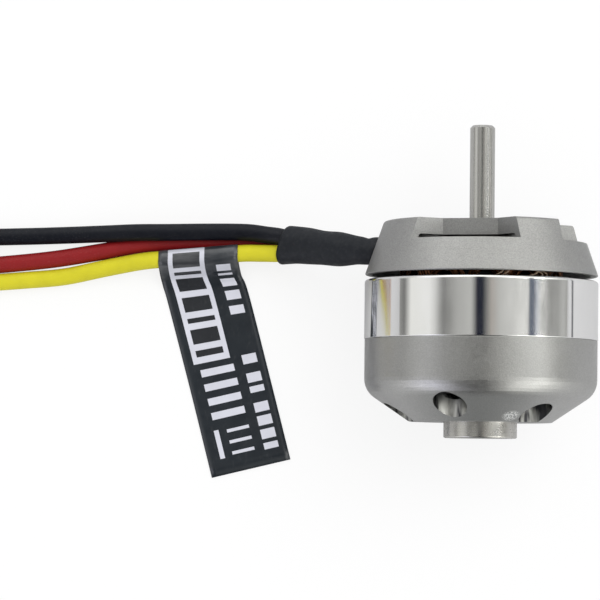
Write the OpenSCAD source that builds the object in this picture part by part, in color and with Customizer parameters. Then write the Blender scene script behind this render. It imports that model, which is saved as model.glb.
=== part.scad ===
// Brushless outrunner motor lying on its side, with three free leads.
// The shaft's axis is +Y and its tip points to +Y. The origin is the centre of the
// mounting face. The leads leave towards -X, and +Z is up.

/* [Rotor] */
// Outer radius of the motor's body
body_r = 14; // [14:0.05:14.2]
// Radius of the shaft
shaft_r = 1.5; // [1.4:0.05:1.5]
// Height of the shaft's tip above the mounting face
shaft_tip = 11.7; // [8:0.1:20]
// Distance from the mounting face to the flux ring's front edge
ring_front = 7.02; // [6.95:0.01:7.2]
// Distance from the mounting face to the seam between ring and bell
ring_rear = 14.13; // [13.9:0.01:14.3]
// Distance from the mounting face to the bell's flat end
bell_end = 23.96; // [23.8:0.01:24.2]
// Radius of the bell's flat end
bell_end_r = 8.55; // [8.4:0.05:8.8]
// Radius of the rounded shoulder of the bell
bell_shoulder_r = 2.7; // [2:0.1:3]
// Number of vent holes in the bell
vent_count = 6; // [4:2:6]
// Radius of each vent hole
vent_r = 2; // [1.5:0.1:2]
// Radius of the circle that every other vent hole lies on
vent_inner_r = 9.7; // [9.5:0.1:9.8]
// Radius of the circle that the vent holes between them lie on
vent_outer_r = 11.25; // [11:0.05:11.3]
// Radius of the boss on the bell's end
boss_r = 4.4; // [4:0.1:4.8]
// Height of the boss on the bell's end
boss_h = 1.92; // [1:0.01:2.5]
// Number of magnets
magnet_count = 14; // [14:1:14]

/* [Mount] */
// Depth of the conical mount, from its face to its rim
mount_depth = 6.43; // [6.4:0.01:6.6]
// Radius of the mounting face
face_r = 11.75; // [11.6:0.05:11.9]
// Depth of the open notches in the mounting face
notch_depth = 2.52; // [2.4:0.01:2.6]
// Distance from the axis to the flat inner wall of a notch
notch_wall = 7.8; // [7.4:0.1:8]
// Turn of the notches about the shaft, from the top towards +X
notch_turn = -13; // [-14:0.5:-11]
// Radius of the tapped holes for M3 mounting screws
screw_hole_r = 1.25; // [1.2:0.05:1.3]
// Spacing of the wider pair of screw holes
screws_wide = 19; // [18.6:0.1:19]
// Spacing of the narrower pair of screw holes
screws_narrow = 16; // [15.6:0.1:16.4]

/* [Stator] */
// Number of stator teeth
tooth_count = 12; // [12:1:12]
// Outer radius of the stator
stator_r = 11; // [10.8:0.05:11]
// Length of the stator stack
stack_length = 7; // [6:0.1:7]
// Width of a stator tooth
tooth_w = 1.6; // [1.4:0.1:1.6]

/* [Bearings] */
// Outer radius of both ball bearings
bearing_r = 3.5; // [3.5:0.1:3.5]
// Width of both ball bearings
bearing_w = 3; // [2.5:0.1:3]
// Number of balls in a bearing
ball_count = 7; // [5:1:7]

/* [Leads] */
// Radius of the silicone leads
lead_r = 1.05; // [0.9:0.05:1.05]
// Width of the label folded round the yellow lead
tag_w = 9.8; // [8:0.1:10]
// Thickness of the label's two layers
tag_t = 0.3; // [0.2:0.05:0.4]

/* [Hidden] */
$fn = 96;
// How far a cutting shape reaches past what it cuts
over = 1;
// How far joined shapes run into each other
overlap = 0.2;

// Mount: wall of the skirt, floor of the plate and the bearing tube
skirt_wall = 0.9;
plate_t = 1.95;
notch_half_w = 3.27;
notch_flare = [2.8, 2.6];
tube_r = 4.5;
tube_end = 16.5;
tube_bore_r = 3.2;
seat_boss_r = 5.2;
seat_floor = 0.4;
exit_hole_r = 1.9;
exit_depth = 3.4;
exit_turn = -99.4;
exit_start = 9.5;
exit_length = 6;
screw_pad_r = 2.4;
screw_pad_depth = 3.6;

// The two pairs of screw places: distance from the axis and turn about it
screw_places = [
    [screws_wide / 2, notch_turn + 45], [screws_wide / 2, notch_turn + 225],
    [screws_narrow / 2, notch_turn + 135], [screws_narrow / 2, notch_turn + 315]
];

// Bearings: places of their front faces, races, balls and shields
front_bearing = 0.4;
rear_bearing = tube_end - bearing_w;
ball_r = 0.6;
ball_circle_r = 2.55;
groove_r = 0.64;
race_gap = [2.05, 3];
cage_r = [2.3, 2.8];
cage_w = 1.7;
cage_play = 0.03;
shield_t = 0.15;
shield_inset = 0.05;
shield_r = 2.2;

// Stator: place of the stack, slots and coils
stack_front = 7.6;
stack_rear = stack_front + stack_length;
yoke_r = 6.3;
tooth_tip_r = 10.1;
slot_opening = 1.1;
insulator_t = 0.4;
insulator_side = 0.2;
coil_r = [6.45, 9.9];
coil_half_w = [1.6, 2.45];
coil_end_h = 1.7;

// Rotor: ring, magnets and bell walls
ring_inner_r = 12.8;
ring_spigot_r = 13.3;
ring_spigot_h = 1;
ring_edge = 0.35;
bell_r = body_r - 0.05;
bell_cone = [5.2, 3.51];
hub_r = 5.6;
hub_floor = 0.4;
end_wall = [[7.9, 22.4], [12.8, 18.9]];
vent_reach = 18.6;
magnet_inner_r = 11.3;
magnet_front = 7.6;
magnet_rear = 14.6;
magnet_angle = 21;
vent_turn = -21.4;
bush_r = 3.6;
bush_front = 18.6;
shaft_rear = 25.8;
shaft_chamfer = 0.3;
washer_t = 0.3;
washer_r = 2;
clip_turn = 75;
clip_t = 0.4;
clip_r = 2;
clip_mouth = 1.4;
clip_ear = [0.9, 0.8];
clip_groove_r = 1.25;
clip_groove_w = 0.6;

// Leads: each route runs from the sleeve's end to its connector
lead_sides = 8;
black_route = [
    [-24.1, -1.3, -10], [-26, -1, -10.7], [-28.5, -0.7, -11.05], [-33, -0.7, -11.1],
    [-38, -0.8, -11.2], [-42, -0.85, -11.5], [-46, -1, -12.3], [-51, -1.2, -12.95],
    [-56, -1.4, -12.95], [-61, -1.5, -12.95], [-66, -1.1, -12.95], [-71, -0.5, -12.95],
    [-76, 0.3, -12.9], [-81, 1, -12.7], [-86, 1.5, -12.45], [-90, 1.6, -12.4]
];
red_route = [
    [-22.9, -2.35, -11.3], [-24.5, -2.2, -12.3], [-26.5, -1.9, -12.9], [-30, -1.85, -12.95],
    [-34, -1.9, -12.95], [-38, -2.05, -12.95], [-42, -2.4, -12.95], [-47, -3.3, -12.95],
    [-52, -4.15, -12.95], [-57, -4.75, -12.95], [-62, -5.2, -12.95], [-67, -5.5, -12.95],
    [-72, -5.5, -12.95], [-77, -5.2, -12.9], [-82, -4.8, -12.7], [-87, -4.5, -12.45],
    [-91, -4.4, -12.4]
];
yellow_route = [
    [-24.1, -3.3, -10], [-26.5, -3.3, -10.7], [-29, -3.3, -11.1], [-33, -3.65, -11.33],
    [-37, -4, -11.56], [-41, -4.35, -11.8], [-46, -5.3, -12.4], [-51, -6.35, -12.95],
    [-56, -6.85, -12.95], [-61, -7.3, -12.95], [-66, -8.1, -12.95], [-71, -9.1, -12.95],
    [-76, -10, -12.9], [-81, -10.4, -12.7], [-85, -10.6, -12.45], [-89, -10.6, -12.4]
];

// Heat-shrink sleeve: its route and its radius at each point
sleeve_route = [
    [-11, -3.4, -1.8], [-13.2, -3.4, -2.2], [-14.8, -3.3, -3], [-16.8, -3.1, -4.6],
    [-19, -2.8, -6.6], [-21.2, -2.45, -8.6], [-23.6, -2.3, -10.6]
];
sleeve_radii = [1.6, 1.65, 1.8, 2, 2.1, 2.2, 2.3];
sleeve_sides = 16;

// Enamelled winding ends, from the coils to the sleeve
tail_r = 0.45;
tail_routes = [
    [[-8.5, -5.6, 2.4], [-8.9, -4.3, 1.2], [-9.8, -3.5, -0.9], [-11.1, -3.1, -1.2]],
    [[-8.8, -5.6, -1.4], [-9.2, -4.6, -1.5], [-10, -4.2, -1.9], [-11.1, -4.1, -1.8]],
    [[-7.8, -5.6, -4.3], [-8.5, -4.3, -3.9], [-9.8, -3.3, -2.8], [-11.1, -3, -2.35]]
];

// Bullet connectors: solder cup, collar and pin, with heat-shrink over the cup
cup_r = 1.3;
cup_l = 5;
collar_r = 1.35;
collar_l = 0.8;
pin_r = 1;
pin_l = 5.5;
pin_tip = 0.5;
pin_taper = 0.4;
cup_floor = 1;
conductor_r = 0.7;
sleeve_over_cup = 4.4;
sleeve_over_lead = 3;
connector_sleeve_r = 1.55;
connector_sleeve_end_r = 1.35;
sleeve_play = 0.02;

// Label: rows of left and right edge points, from the lead to its free end
tag_wrap_r = lead_r + sleeve_play;
tag_start = 0.7;
tag_rows = [
    [[-39.1, -5.2, -12.6], [-29.5, -4.3, -12]],
    [[-38.6, -7, -13.5], [-29, -6, -13.2]],
    [[-37.9, -9.7, -14], [-28.4, -8.2, -14]],
    [[-35.1, -20.6, -14], [-25.7, -18.3, -14]],
    [[-32.4, -31, -14], [-22.9, -28.6, -14]]
];

// ---- Functions ----

function unit(v) = v / norm(v);

function turned(v, a) = [v.x * cos(a) - v.y * sin(a), v.x * sin(a) + v.y * cos(a)];

// A point without the last digits of rounding error, so that flat faces stay flat
function tidied(v) = [for (x = v) round(x * 1e6) / 1e6];

// Corner b of the path a-b-c, rounded with radius r
function corner(a, b, c, r, steps = 6) =
    r == 0 ? [b] :
    let (
        u = unit(a - b),
        v = unit(c - b),
        half = acos(u * v) / 2,
        centre = b + unit(u + v) * r / sin(half),
        start = b + u * r / tan(half) - centre,
        stop = b + v * r / tan(half) - centre,
        turn = sign(cross(start, stop)) * (180 - 2 * half)
    )
    [for (k = [0:steps]) tidied(centre + turned(start, turn * k / steps))];

// A closed outline of [x, y, corner radius] points
function rounded(p) =
    let (n = len(p), at = [for (q = p) [q.x, q.y]])
    [for (i = [0:n - 1]) each corner(at[(i + n - 1) % n], at[i], at[(i + 1) % n], p[i][2])];

// Direction of a route at point i
function heading(route, i) =
    unit(route[min(i + 1, len(route) - 1)] - route[max(i - 1, 0)]);

// A ring of points round point i of a route, square to the route
function ring_points(route, i, r, sides) =
    let (
        ahead = heading(route, i),
        side = unit(cross(ahead, [0, 0, 1])),
        up = cross(side, ahead)
    )
    [for (k = [0:sides - 1])
        let (a = 360 * (k + 0.5) / sides) route[i] + r * (side * cos(a) + up * sin(a))];

// ---- Helpers ----

// Turns a shape drawn along +Z so that it lies along the shaft, +Y
module on_shaft() { rotate([-90, 0, 0]) children(); }

// Turns a shape drawn at +X about the shaft, from the top towards +X
module clock(angle) { rotate([0, 0, angle - 90]) children(); }

// A shape of revolution about the shaft, from [radius, height, corner radius] points
module revolved(points) { rotate_extrude() polygon(rounded(points)); }

// A ring from one depth behind the mounting face to another
module ring(r_in, r_out, depth_front, depth_rear) {
    rotate_extrude()
        translate([r_in, -depth_rear])
            square([r_out - r_in, depth_rear - depth_front]);
}

module tube(route, radii, sides) {
    count = len(route);
    points = [for (i = [0:count - 1]) each ring_points(route, i, radii[i], sides)];
    walls = [for (i = [0:count - 2], k = [0:sides - 1])
        let (a = i * sides, b = a + sides, m = (k + 1) % sides)
        each [[a + k, a + m, b + m], [a + k, b + m, b + k]]];
    first = [for (k = [sides - 1:-1:0]) k];
    last = [for (k = [0:sides - 1]) (count - 1) * sides + k];
    polyhedron(points, concat(walls, [first, last]), convexity = 6);
}

module lead(route) { tube(route, [for (p = route) lead_r], lead_sides); }

// ---- Mount ----

module notch() {
    translate([0, 0, -notch_depth])
        linear_extrude(notch_depth + over)
            polygon([
                [notch_wall, -notch_half_w],
                [notch_wall + 2 * notch_flare.y, -notch_half_w - 2 * notch_flare.x],
                [notch_wall + 2 * notch_flare.y, notch_half_w + 2 * notch_flare.x],
                [notch_wall, notch_half_w]
            ]);
}

module mount_body() {
    lean = (body_r - face_r) / mount_depth;
    revolved([
        [bearing_r, 0, 0.1],
        [face_r, 0, 0.4],
        [body_r, -mount_depth, 0.12],
        [body_r - skirt_wall, -mount_depth, 0],
        [body_r - skirt_wall - lean * (mount_depth - plate_t), -plate_t, 0.3],
        [seat_boss_r, -plate_t, 0.3],
        [seat_boss_r, -front_bearing - bearing_w - seat_floor, 0],
        [tube_r, -front_bearing - bearing_w - seat_floor, 0.2],
        [tube_r, -tube_end, 0],
        [bearing_r, -tube_end, 0],
        [bearing_r, -rear_bearing, 0],
        [tube_bore_r, -rear_bearing, 0],
        [tube_bore_r, -front_bearing - bearing_w, 0],
        [bearing_r, -front_bearing - bearing_w, 0]
    ]);
    for (place = screw_places)
        clock(place[1]) translate([place[0], 0, -screw_pad_depth])
            cylinder(r = screw_pad_r, h = screw_pad_depth - plate_t + overlap);
}

module mount_flange() {
    color([0.62, 0.61, 0.59])
        on_shaft()
            difference() {
                mount_body();
                for (turn = [0, 90, 180])
                    clock(notch_turn + turn) notch();
                for (place = screw_places)
                    clock(place[1]) translate([place[0], 0, -screw_pad_depth - over])
                        cylinder(r = screw_hole_r, h = screw_pad_depth + 2 * over);
                clock(exit_turn) translate([exit_start, 0, -exit_depth])
                    rotate([0, 90, 0]) cylinder(r = exit_hole_r, h = exit_length);
            }
}

// ---- Bearings ----

// One race of a bearing whose front face is at the given depth
module race(r_in, r_out, depth) {
    color([0.72, 0.72, 0.73])
        on_shaft()
            difference() {
                ring(r_in, r_out, depth, depth + bearing_w);
                translate([0, 0, -depth - bearing_w / 2])
                    rotate_extrude() translate([ball_circle_r, 0]) circle(groove_r, $fn = 48);
            }
}

module shields(depth) {
    color([0.6, 0.6, 0.62])
        on_shaft()
            for (front = [depth + shield_inset, depth + bearing_w - shield_inset - shield_t])
                ring(shield_r, race_gap[1], front, front + shield_t);
}

module at_balls(depth) {
    for (k = [0:ball_count - 1])
        clock(360 * k / ball_count) translate([ball_circle_r, 0, -depth - bearing_w / 2])
            children();
}

module balls(depth) {
    color([0.8, 0.8, 0.82])
        on_shaft()
            at_balls(depth) sphere(ball_r, $fn = 32);
}

module cage(depth) {
    middle = depth + bearing_w / 2;
    color([0.75, 0.6, 0.35])
        on_shaft()
            difference() {
                ring(cage_r[0], cage_r[1], middle - cage_w / 2, middle + cage_w / 2);
                at_balls(depth) translate([-over, 0, 0]) rotate([0, 90, 0])
                    cylinder(r = ball_r + cage_play, h = 2 * over);
            }
}

module front_bearing_outer_race() { race(race_gap[1], bearing_r, front_bearing); }
module front_bearing_inner_race() { race(shaft_r, race_gap[0], front_bearing); }
module front_bearing_shields() { shields(front_bearing); }
module front_bearing_balls() { balls(front_bearing); }
module front_bearing_cage() { cage(front_bearing); }
module rear_bearing_outer_race() { race(race_gap[1], bearing_r, rear_bearing); }
module rear_bearing_inner_race() { race(shaft_r, race_gap[0], rear_bearing); }
module rear_bearing_shields() { shields(rear_bearing); }
module rear_bearing_balls() { balls(rear_bearing); }
module rear_bearing_cage() { cage(rear_bearing); }

// ---- Stator ----

module at_tooth(k) { clock(360 * k / tooth_count) children(); }

// The outline of the laminations, as a plate between two depths
module lamination(depth_front, depth_rear, tooth) {
    thick = depth_rear - depth_front;
    ring(tube_r, yoke_r, depth_front, depth_rear);
    difference() {
        ring(tooth_tip_r, stator_r, depth_front, depth_rear);
        for (k = [0:tooth_count - 1])
            at_tooth(k + 0.5)
                translate([tooth_tip_r - over, -slot_opening / 2, -depth_rear - over])
                    cube([stator_r - tooth_tip_r + 2 * over, slot_opening, thick + 2 * over]);
    }
    for (k = [0:tooth_count - 1])
        at_tooth(k) translate([yoke_r - 2 * overlap, -tooth / 2, -depth_rear])
            cube([tooth_tip_r - yoke_r + 3 * overlap, tooth, thick]);
}

module stator_stack() {
    color([0.35, 0.36, 0.38])
        on_shaft() lamination(stack_front, stack_rear, tooth_w);
}

module slot_insulator_front() {
    color([0.15, 0.35, 0.2])
        on_shaft() lamination(stack_front - insulator_t, stack_front, tooth_w + 2 * insulator_side);
}

module slot_insulator_rear() {
    color([0.15, 0.35, 0.2])
        on_shaft() lamination(stack_rear, stack_rear + insulator_t, tooth_w + 2 * insulator_side);
}

// The coil round one tooth
module coil() {
    front = stack_front - insulator_t;
    rear = stack_rear + insulator_t;
    half_hole = tooth_w / 2 + insulator_side;
    difference() {
        translate([0, 0, -rear - coil_end_h])
            linear_extrude(rear - front + 2 * coil_end_h)
                polygon([
                    [coil_r[0], -coil_half_w[0]], [coil_r[1], -coil_half_w[1]],
                    [coil_r[1], coil_half_w[1]], [coil_r[0], coil_half_w[0]]
                ]);
        translate([coil_r[0] - over, -half_hole, -rear])
            cube([coil_r[1] - coil_r[0] + 2 * over, 2 * half_hole, rear - front]);
    }
}

module phase_coils(first) {
    color([0.72, 0.42, 0.22])
        on_shaft()
            for (k = [first:3:tooth_count - 1])
                at_tooth(k) coil();
}

module phase_a_coils() { phase_coils(0); }
module phase_b_coils() { phase_coils(1); }
module phase_c_coils() { phase_coils(2); }

module winding_tails() {
    color([0.72, 0.42, 0.22])
        for (route = tail_routes)
            tube(route, [for (p = route) tail_r], lead_sides);
}

// ---- Leads ----

module lead_sleeve() {
    color([0.1, 0.1, 0.1]) tube(sleeve_route, sleeve_radii, sleeve_sides);
}

module lead_black() { color([0.08, 0.08, 0.09]) lead(black_route); }
module lead_red() { color([0.7, 0.06, 0.06]) lead(red_route); }
module lead_yellow() { color([0.95, 0.85, 0.1]) lead(yellow_route); }

// Draws along -X from the end of a lead's route
module at_lead_end(route) { translate(route[len(route) - 1]) rotate([0, -90, 0]) children(); }

module connector(route) {
    color([0.85, 0.65, 0.25])
        at_lead_end(route) {
            difference() {
                cylinder(r = cup_r, h = cup_l);
                translate([0, 0, -over]) cylinder(r = conductor_r, h = cup_l - cup_floor + over);
            }
            translate([0, 0, cup_l]) cylinder(r = collar_r, h = collar_l);
            translate([0, 0, cup_l + collar_l]) cylinder(r = pin_r, h = pin_l - pin_tip);
            translate([0, 0, cup_l + collar_l + pin_l - pin_tip])
                cylinder(r1 = pin_r, r2 = pin_r - pin_taper, h = pin_tip);
        }
}

// Heat-shrink over the end of a lead and its solder cup
module connector_sleeve(route, shade) {
    color(shade)
        at_lead_end(route)
            rotate_extrude()
                polygon([
                    [lead_r + sleeve_play, -sleeve_over_lead],
                    [connector_sleeve_end_r, -sleeve_over_lead],
                    [connector_sleeve_r, 0], [connector_sleeve_r, sleeve_over_cup],
                    [cup_r, sleeve_over_cup], [cup_r, 0], [lead_r + sleeve_play, -sleeve_play]
                ]);
}

module connector_black() { connector(black_route); }
module connector_red() { connector(red_route); }
module connector_yellow() { connector(yellow_route); }
module connector_sleeve_black() { connector_sleeve(black_route, [0.1, 0.1, 0.1]); }
module connector_sleeve_red() { connector_sleeve(red_route, [0.7, 0.1, 0.1]); }
module connector_sleeve_yellow() { connector_sleeve(yellow_route, [0.9, 0.8, 0.1]); }

module lead_tag() {
    count = len(tag_rows);
    lift = [0, 0, tag_t];
    points = [for (row = tag_rows) each [row[0], row[1], row[1] + lift, row[0] + lift]];
    walls = [for (i = [0:count - 2], k = [0:3])
        let (a = 4 * i, b = a + 4, m = (k + 1) % 4)
        each [[a + k, b + k, b + m], [a + k, b + m, a + m]]];
    last = 4 * (count - 1);
    start = yellow_route[2];
    along = yellow_route[5] - start;
    color([0.12, 0.12, 0.13]) {
        polyhedron(points, concat(walls, [[0, 1, 2, 3], [last + 3, last + 2, last + 1, last]]));
        translate(start + unit(along) * tag_start)
            rotate([0, acos(unit(along).z), atan2(along.y, along.x)])
                difference() {
                    cylinder(r = tag_wrap_r + tag_t, h = tag_w);
                    translate([0, 0, -over]) cylinder(r = tag_wrap_r, h = tag_w + 2 * over);
                }
    }
}

// ---- Rotor ----

module shaft() {
    color([0.75, 0.74, 0.72])
        on_shaft()
            revolved([
                [0, shaft_tip, 0], [shaft_r - shaft_chamfer, shaft_tip, 0],
                [shaft_r, shaft_tip - shaft_chamfer, 0],
                [shaft_r, washer_t - front_bearing + clip_groove_w, 0],
                [clip_groove_r, washer_t - front_bearing + clip_groove_w, 0],
                [clip_groove_r, washer_t - front_bearing, 0],
                [shaft_r, washer_t - front_bearing, 0],
                [shaft_r, -shaft_rear + shaft_chamfer, 0],
                [shaft_r - shaft_chamfer, -shaft_rear, 0],
                [0, -shaft_rear, 0]
            ]);
}

module shaft_clip() {
    color([0.15, 0.15, 0.16])
        on_shaft() translate([0, 0, washer_t - front_bearing])
            clock(clip_turn)
                difference() {
                    union() {
                        cylinder(r = clip_r, h = clip_t);
                        for (side = [-1, 1])
                            translate([clip_r, side * (clip_mouth + clip_ear.y) / 2, clip_t / 2])
                                cube([clip_ear.x, clip_ear.y, clip_t], center = true);
                    }
                    translate([0, 0, -over]) cylinder(r = clip_groove_r, h = clip_t + 2 * over);
                    translate([clip_groove_r / 2, -clip_mouth / 2, -over])
                        cube([clip_r + over, clip_mouth, clip_t + 2 * over]);
                }
}

module front_washer() {
    color([0.65, 0.65, 0.66])
        on_shaft() ring(shaft_r, washer_r, front_bearing - washer_t, front_bearing);
}

module rear_spacer() {
    color([0.7, 0.6, 0.3])
        on_shaft() ring(shaft_r, washer_r, tube_end, bush_front);
}

module flux_ring() {
    color([0.82, 0.82, 0.83])
        on_shaft()
            revolved([
                [ring_inner_r, -ring_front, 0.15], [body_r, -ring_front, ring_edge],
                [body_r, -ring_rear, 0.1], [ring_spigot_r, -ring_rear, 0],
                [ring_spigot_r, -ring_rear - ring_spigot_h, 0],
                [ring_inner_r, -ring_rear - ring_spigot_h, 0]
            ]);
}

module magnets(first) {
    color([0.3, 0.31, 0.33])
        on_shaft()
            for (k = [first:2:magnet_count - 1])
                clock(360 * k / magnet_count - magnet_angle / 2)
                    translate([0, 0, -magnet_rear])
                        rotate_extrude(angle = magnet_angle)
                            translate([magnet_inner_r, 0])
                                square([ring_inner_r - magnet_inner_r, magnet_rear - magnet_front]);
}

module magnets_north() { magnets(0); }
module magnets_south() { magnets(1); }

module bell() {
    cone_top = bell_end - (bell_r - bell_end_r) * bell_cone.y / bell_cone.x;
    seam = ring_rear + ring_spigot_h;
    color([0.5, 0.5, 0.5])
        on_shaft()
            difference() {
                revolved([
                    [bell_r, -ring_rear, 0.1], [bell_r, -cone_top, bell_shoulder_r],
                    [bell_end_r, -bell_end, 0.5], [bush_r, -bell_end, 0],
                    [bush_r, -bush_front - hub_floor, 0], [hub_r, -bush_front - hub_floor, 0.4],
                    [hub_r, -end_wall[0].y, 0.5], [end_wall[0].x, -end_wall[0].y, 0.8],
                    [end_wall[1].x, -end_wall[1].y, 1],
                    [end_wall[1].x, -seam, 0], [ring_spigot_r, -seam, 0],
                    [ring_spigot_r, -ring_rear, 0]
                ]);
                for (k = [0:vent_count - 1])
                    clock(vent_turn + 360 * k / vent_count)
                        translate([k % 2 == 0 ? vent_outer_r : vent_inner_r, 0, -bell_end - over])
                            cylinder(r = vent_r, h = bell_end + over - vent_reach);
            }
}

module hub_bush() {
    color([0.66, 0.64, 0.6])
        on_shaft()
            revolved([
                [shaft_r, -bush_front, 0], [bush_r, -bush_front, 0.2], [bush_r, -bell_end, 0],
                [boss_r, -bell_end, 0], [boss_r, -bell_end - boss_h, 0.2],
                [shaft_r, -bell_end - boss_h, 0.2]
            ]);
}

mount_flange();
front_bearing_outer_race();
front_bearing_shields();
rear_bearing_outer_race();
rear_bearing_shields();
stator_stack();
slot_insulator_front();
slot_insulator_rear();
phase_a_coils();
phase_b_coils();
phase_c_coils();
winding_tails();
lead_sleeve();
lead_black();
lead_red();
lead_yellow();
lead_tag();
connector_black();
connector_red();
connector_yellow();
connector_sleeve_black();
connector_sleeve_red();
connector_sleeve_yellow();
shaft();
bell();
flux_ring();
magnets_north();
magnets_south();
hub_bush();
shaft_clip();
front_washer();
rear_spacer();
front_bearing_inner_race();
rear_bearing_inner_race();
front_bearing_balls();
front_bearing_cage();
rear_bearing_balls();
rear_bearing_cage();
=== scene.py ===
"""The looks of a small brushless outrunner motor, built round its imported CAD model.

The motor lies on its side: the shaft's axis is +Y, the leads leave towards -X and +Z is up.
Lengths are in metres; MM turns millimetres into metres.
"""

import math

import bmesh
import bpy
from mathutils import Matrix, Vector, noise


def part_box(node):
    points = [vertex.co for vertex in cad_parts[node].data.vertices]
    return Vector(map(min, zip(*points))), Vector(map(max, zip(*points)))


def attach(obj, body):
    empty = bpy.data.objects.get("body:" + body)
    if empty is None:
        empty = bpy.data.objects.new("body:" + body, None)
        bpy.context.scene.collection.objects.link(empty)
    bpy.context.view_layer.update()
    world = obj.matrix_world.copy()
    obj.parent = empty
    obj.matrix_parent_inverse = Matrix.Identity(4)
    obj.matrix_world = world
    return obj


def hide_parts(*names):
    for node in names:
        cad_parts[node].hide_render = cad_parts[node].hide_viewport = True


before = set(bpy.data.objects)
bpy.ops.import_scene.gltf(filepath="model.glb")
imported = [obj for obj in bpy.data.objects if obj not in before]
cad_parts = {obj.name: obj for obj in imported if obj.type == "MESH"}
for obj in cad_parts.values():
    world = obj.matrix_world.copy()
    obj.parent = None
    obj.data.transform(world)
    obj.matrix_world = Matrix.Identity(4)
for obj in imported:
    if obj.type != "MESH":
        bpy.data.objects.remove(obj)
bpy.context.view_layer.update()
MM = 0.001


def low(node):
    return Vector(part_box(node)[0])


def high(node):
    return Vector(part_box(node)[1])


# ---- Sizes taken from the frame ----

floor_z = -high("flux_ring").x
insulator_front = high("slot_insulator_front").y
insulator_rear = low("slot_insulator_rear").y

# ---- Sizes that the frame doesn't hold ----

lead_r = 1.05 * MM
vent_r = 2 * MM
vent_outer_r = 11.25 * MM
vent_inner_r = 9.7 * MM
vent_turn = math.radians(-21.4)
vent_lip_y = -20.4 * MM
vent_depth = 2.2 * MM
bright_fleck_centre = (3.1 * MM, -23.3 * MM, 9 * MM)
bearing_tube_r = 6 * MM
tooth_count = 12
tooth_half = 1 * MM
wire_r = 0.2 * MM
tag_film = 0.1 * MM
sleeve_wall = 0.28 * MM
strand_r = 0.08 * MM
tail_strand_r = 0.21 * MM

# The leads' routes, from the sleeve's end to the plugs
BLACK_ROUTE = [
    (-24.1, -1.3, -10), (-26, -1, -10.7), (-28.5, -0.7, -11.05), (-33, -0.7, -11.1), (-38, -0.8, -11.2),
    (-42, -0.85, -11.5), (-46, -1, -12.3), (-51, -1.2, -12.95), (-56, -1.4, -12.95),
    (-61, -1.5, -12.95), (-66, -1.1, -12.95), (-71, -0.5, -12.95), (-76, 0.3, -12.9), (-81, 1, -12.7),
    (-86, 1.5, -12.45), (-90, 1.6, -12.4),
]
RED_ROUTE = [
    (-22.9, -2.35, -11.3), (-24.5, -2.2, -12.3), (-26.5, -1.9, -12.9), (-30, -1.85, -12.95),
    (-34, -1.9, -12.95), (-38, -2.05, -12.95), (-42, -2.4, -12.95), (-47, -3.3, -12.95),
    (-52, -4.15, -12.95), (-57, -4.75, -12.95), (-62, -5.2, -12.95), (-67, -5.5, -12.95),
    (-72, -5.5, -12.95), (-77, -5.2, -12.9), (-82, -4.8, -12.7), (-87, -4.5, -12.45), (-91, -4.4, -12.4),
]
YELLOW_ROUTE = [
    (-24.1, -3.3, -10), (-26.5, -3.3, -10.7), (-29, -3.3, -11.1), (-33, -3.65, -11.33), (-37, -4, -11.56),
    (-41, -4.35, -11.8), (-46, -5.3, -12.4), (-51, -6.35, -12.95), (-56, -6.85, -12.95),
    (-61, -7.3, -12.95), (-66, -8.1, -12.95), (-71, -9.1, -12.95), (-76, -10, -12.9), (-81, -10.4, -12.7),
    (-85, -10.6, -12.45), (-89, -10.6, -12.4),
]
ROUTES = {"black": BLACK_ROUTE, "red": RED_ROUTE, "yellow": YELLOW_ROUTE}

# The heat-shrink sleeve's route and its radius at each point
SLEEVE_ROUTE = [
    (-11, -3.4, -1.8), (-13.2, -3.4, -2.2), (-14.8, -3.3, -3), (-16.8, -3.1, -4.6), (-19, -2.8, -6.6),
    (-21.2, -2.45, -8.6), (-23.6, -2.3, -10.6),
]
SLEEVE_RADII = [1.6, 1.65, 1.75, 2.05, 2.1, 2.25, 2.35]

# The routes of the winding ends, from the coils to the sleeve
TAIL_ROUTES = [
    [(-8.5, -5.6, 2.4), (-8.9, -4.3, 1.2), (-9.8, -3.5, -0.9), (-11.1, -3.1, -1.2)],
    [(-8.8, -5.6, -1.4), (-9.2, -4.6, -1.5), (-10, -4.2, -1.9), (-11.1, -4.1, -1.8)],
    [(-7.8, -5.6, -4.3), (-8.5, -4.3, -3.9), (-9.8, -3.3, -2.8), (-11.1, -3, -2.35)],
]


# ---- Camera ----


def make_camera():
    eye = Vector((-21.75, -30.45, 410)) * MM
    aim = Vector((-21.75, -9.54, 0)) * MM
    width_at_aim = 72 * MM
    roll = math.radians(0.66)
    camera = bpy.data.objects.new("camera", bpy.data.cameras.new("camera"))
    bpy.context.scene.collection.objects.link(camera)
    camera.rotation_mode = "QUATERNION"
    turn = (aim - eye).to_track_quat("-Z", "Y").to_matrix() @ Matrix.Rotation(roll, 3, "Z")
    camera.rotation_quaternion = turn.to_quaternion()
    camera.location = eye
    camera.data.lens = camera.data.sensor_width * (aim - eye).length / width_at_aim
    camera.data.clip_start = 0.01
    camera.data.clip_end = 10
    bpy.context.scene.camera = camera


# ---- Curves and meshes ----


def metres(points):
    return [Vector(p) * MM for p in points]


def spline_point(points, t):
    """The point at t (0 at the first point, 1 at the second, ...) of a smooth line through points."""
    last = len(points) - 1
    i = min(int(t), last - 1)
    f = t - i
    before = points[i - 1] if i else points[0] * 2 - points[1]
    after = points[i + 2] if i + 2 <= last else points[last] * 2 - points[last - 1]
    a, b = points[i], points[i + 1]
    return 0.5 * (
        2 * a
        + (b - before) * f
        + (2 * before - 5 * a + 4 * b - after) * f * f
        + (3 * a - before - 3 * b + after) * f * f * f
    )


def smooth(points, per_gap):
    count = (len(points) - 1) * per_gap
    return [spline_point(points, k / per_gap) for k in range(count + 1)]


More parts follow.
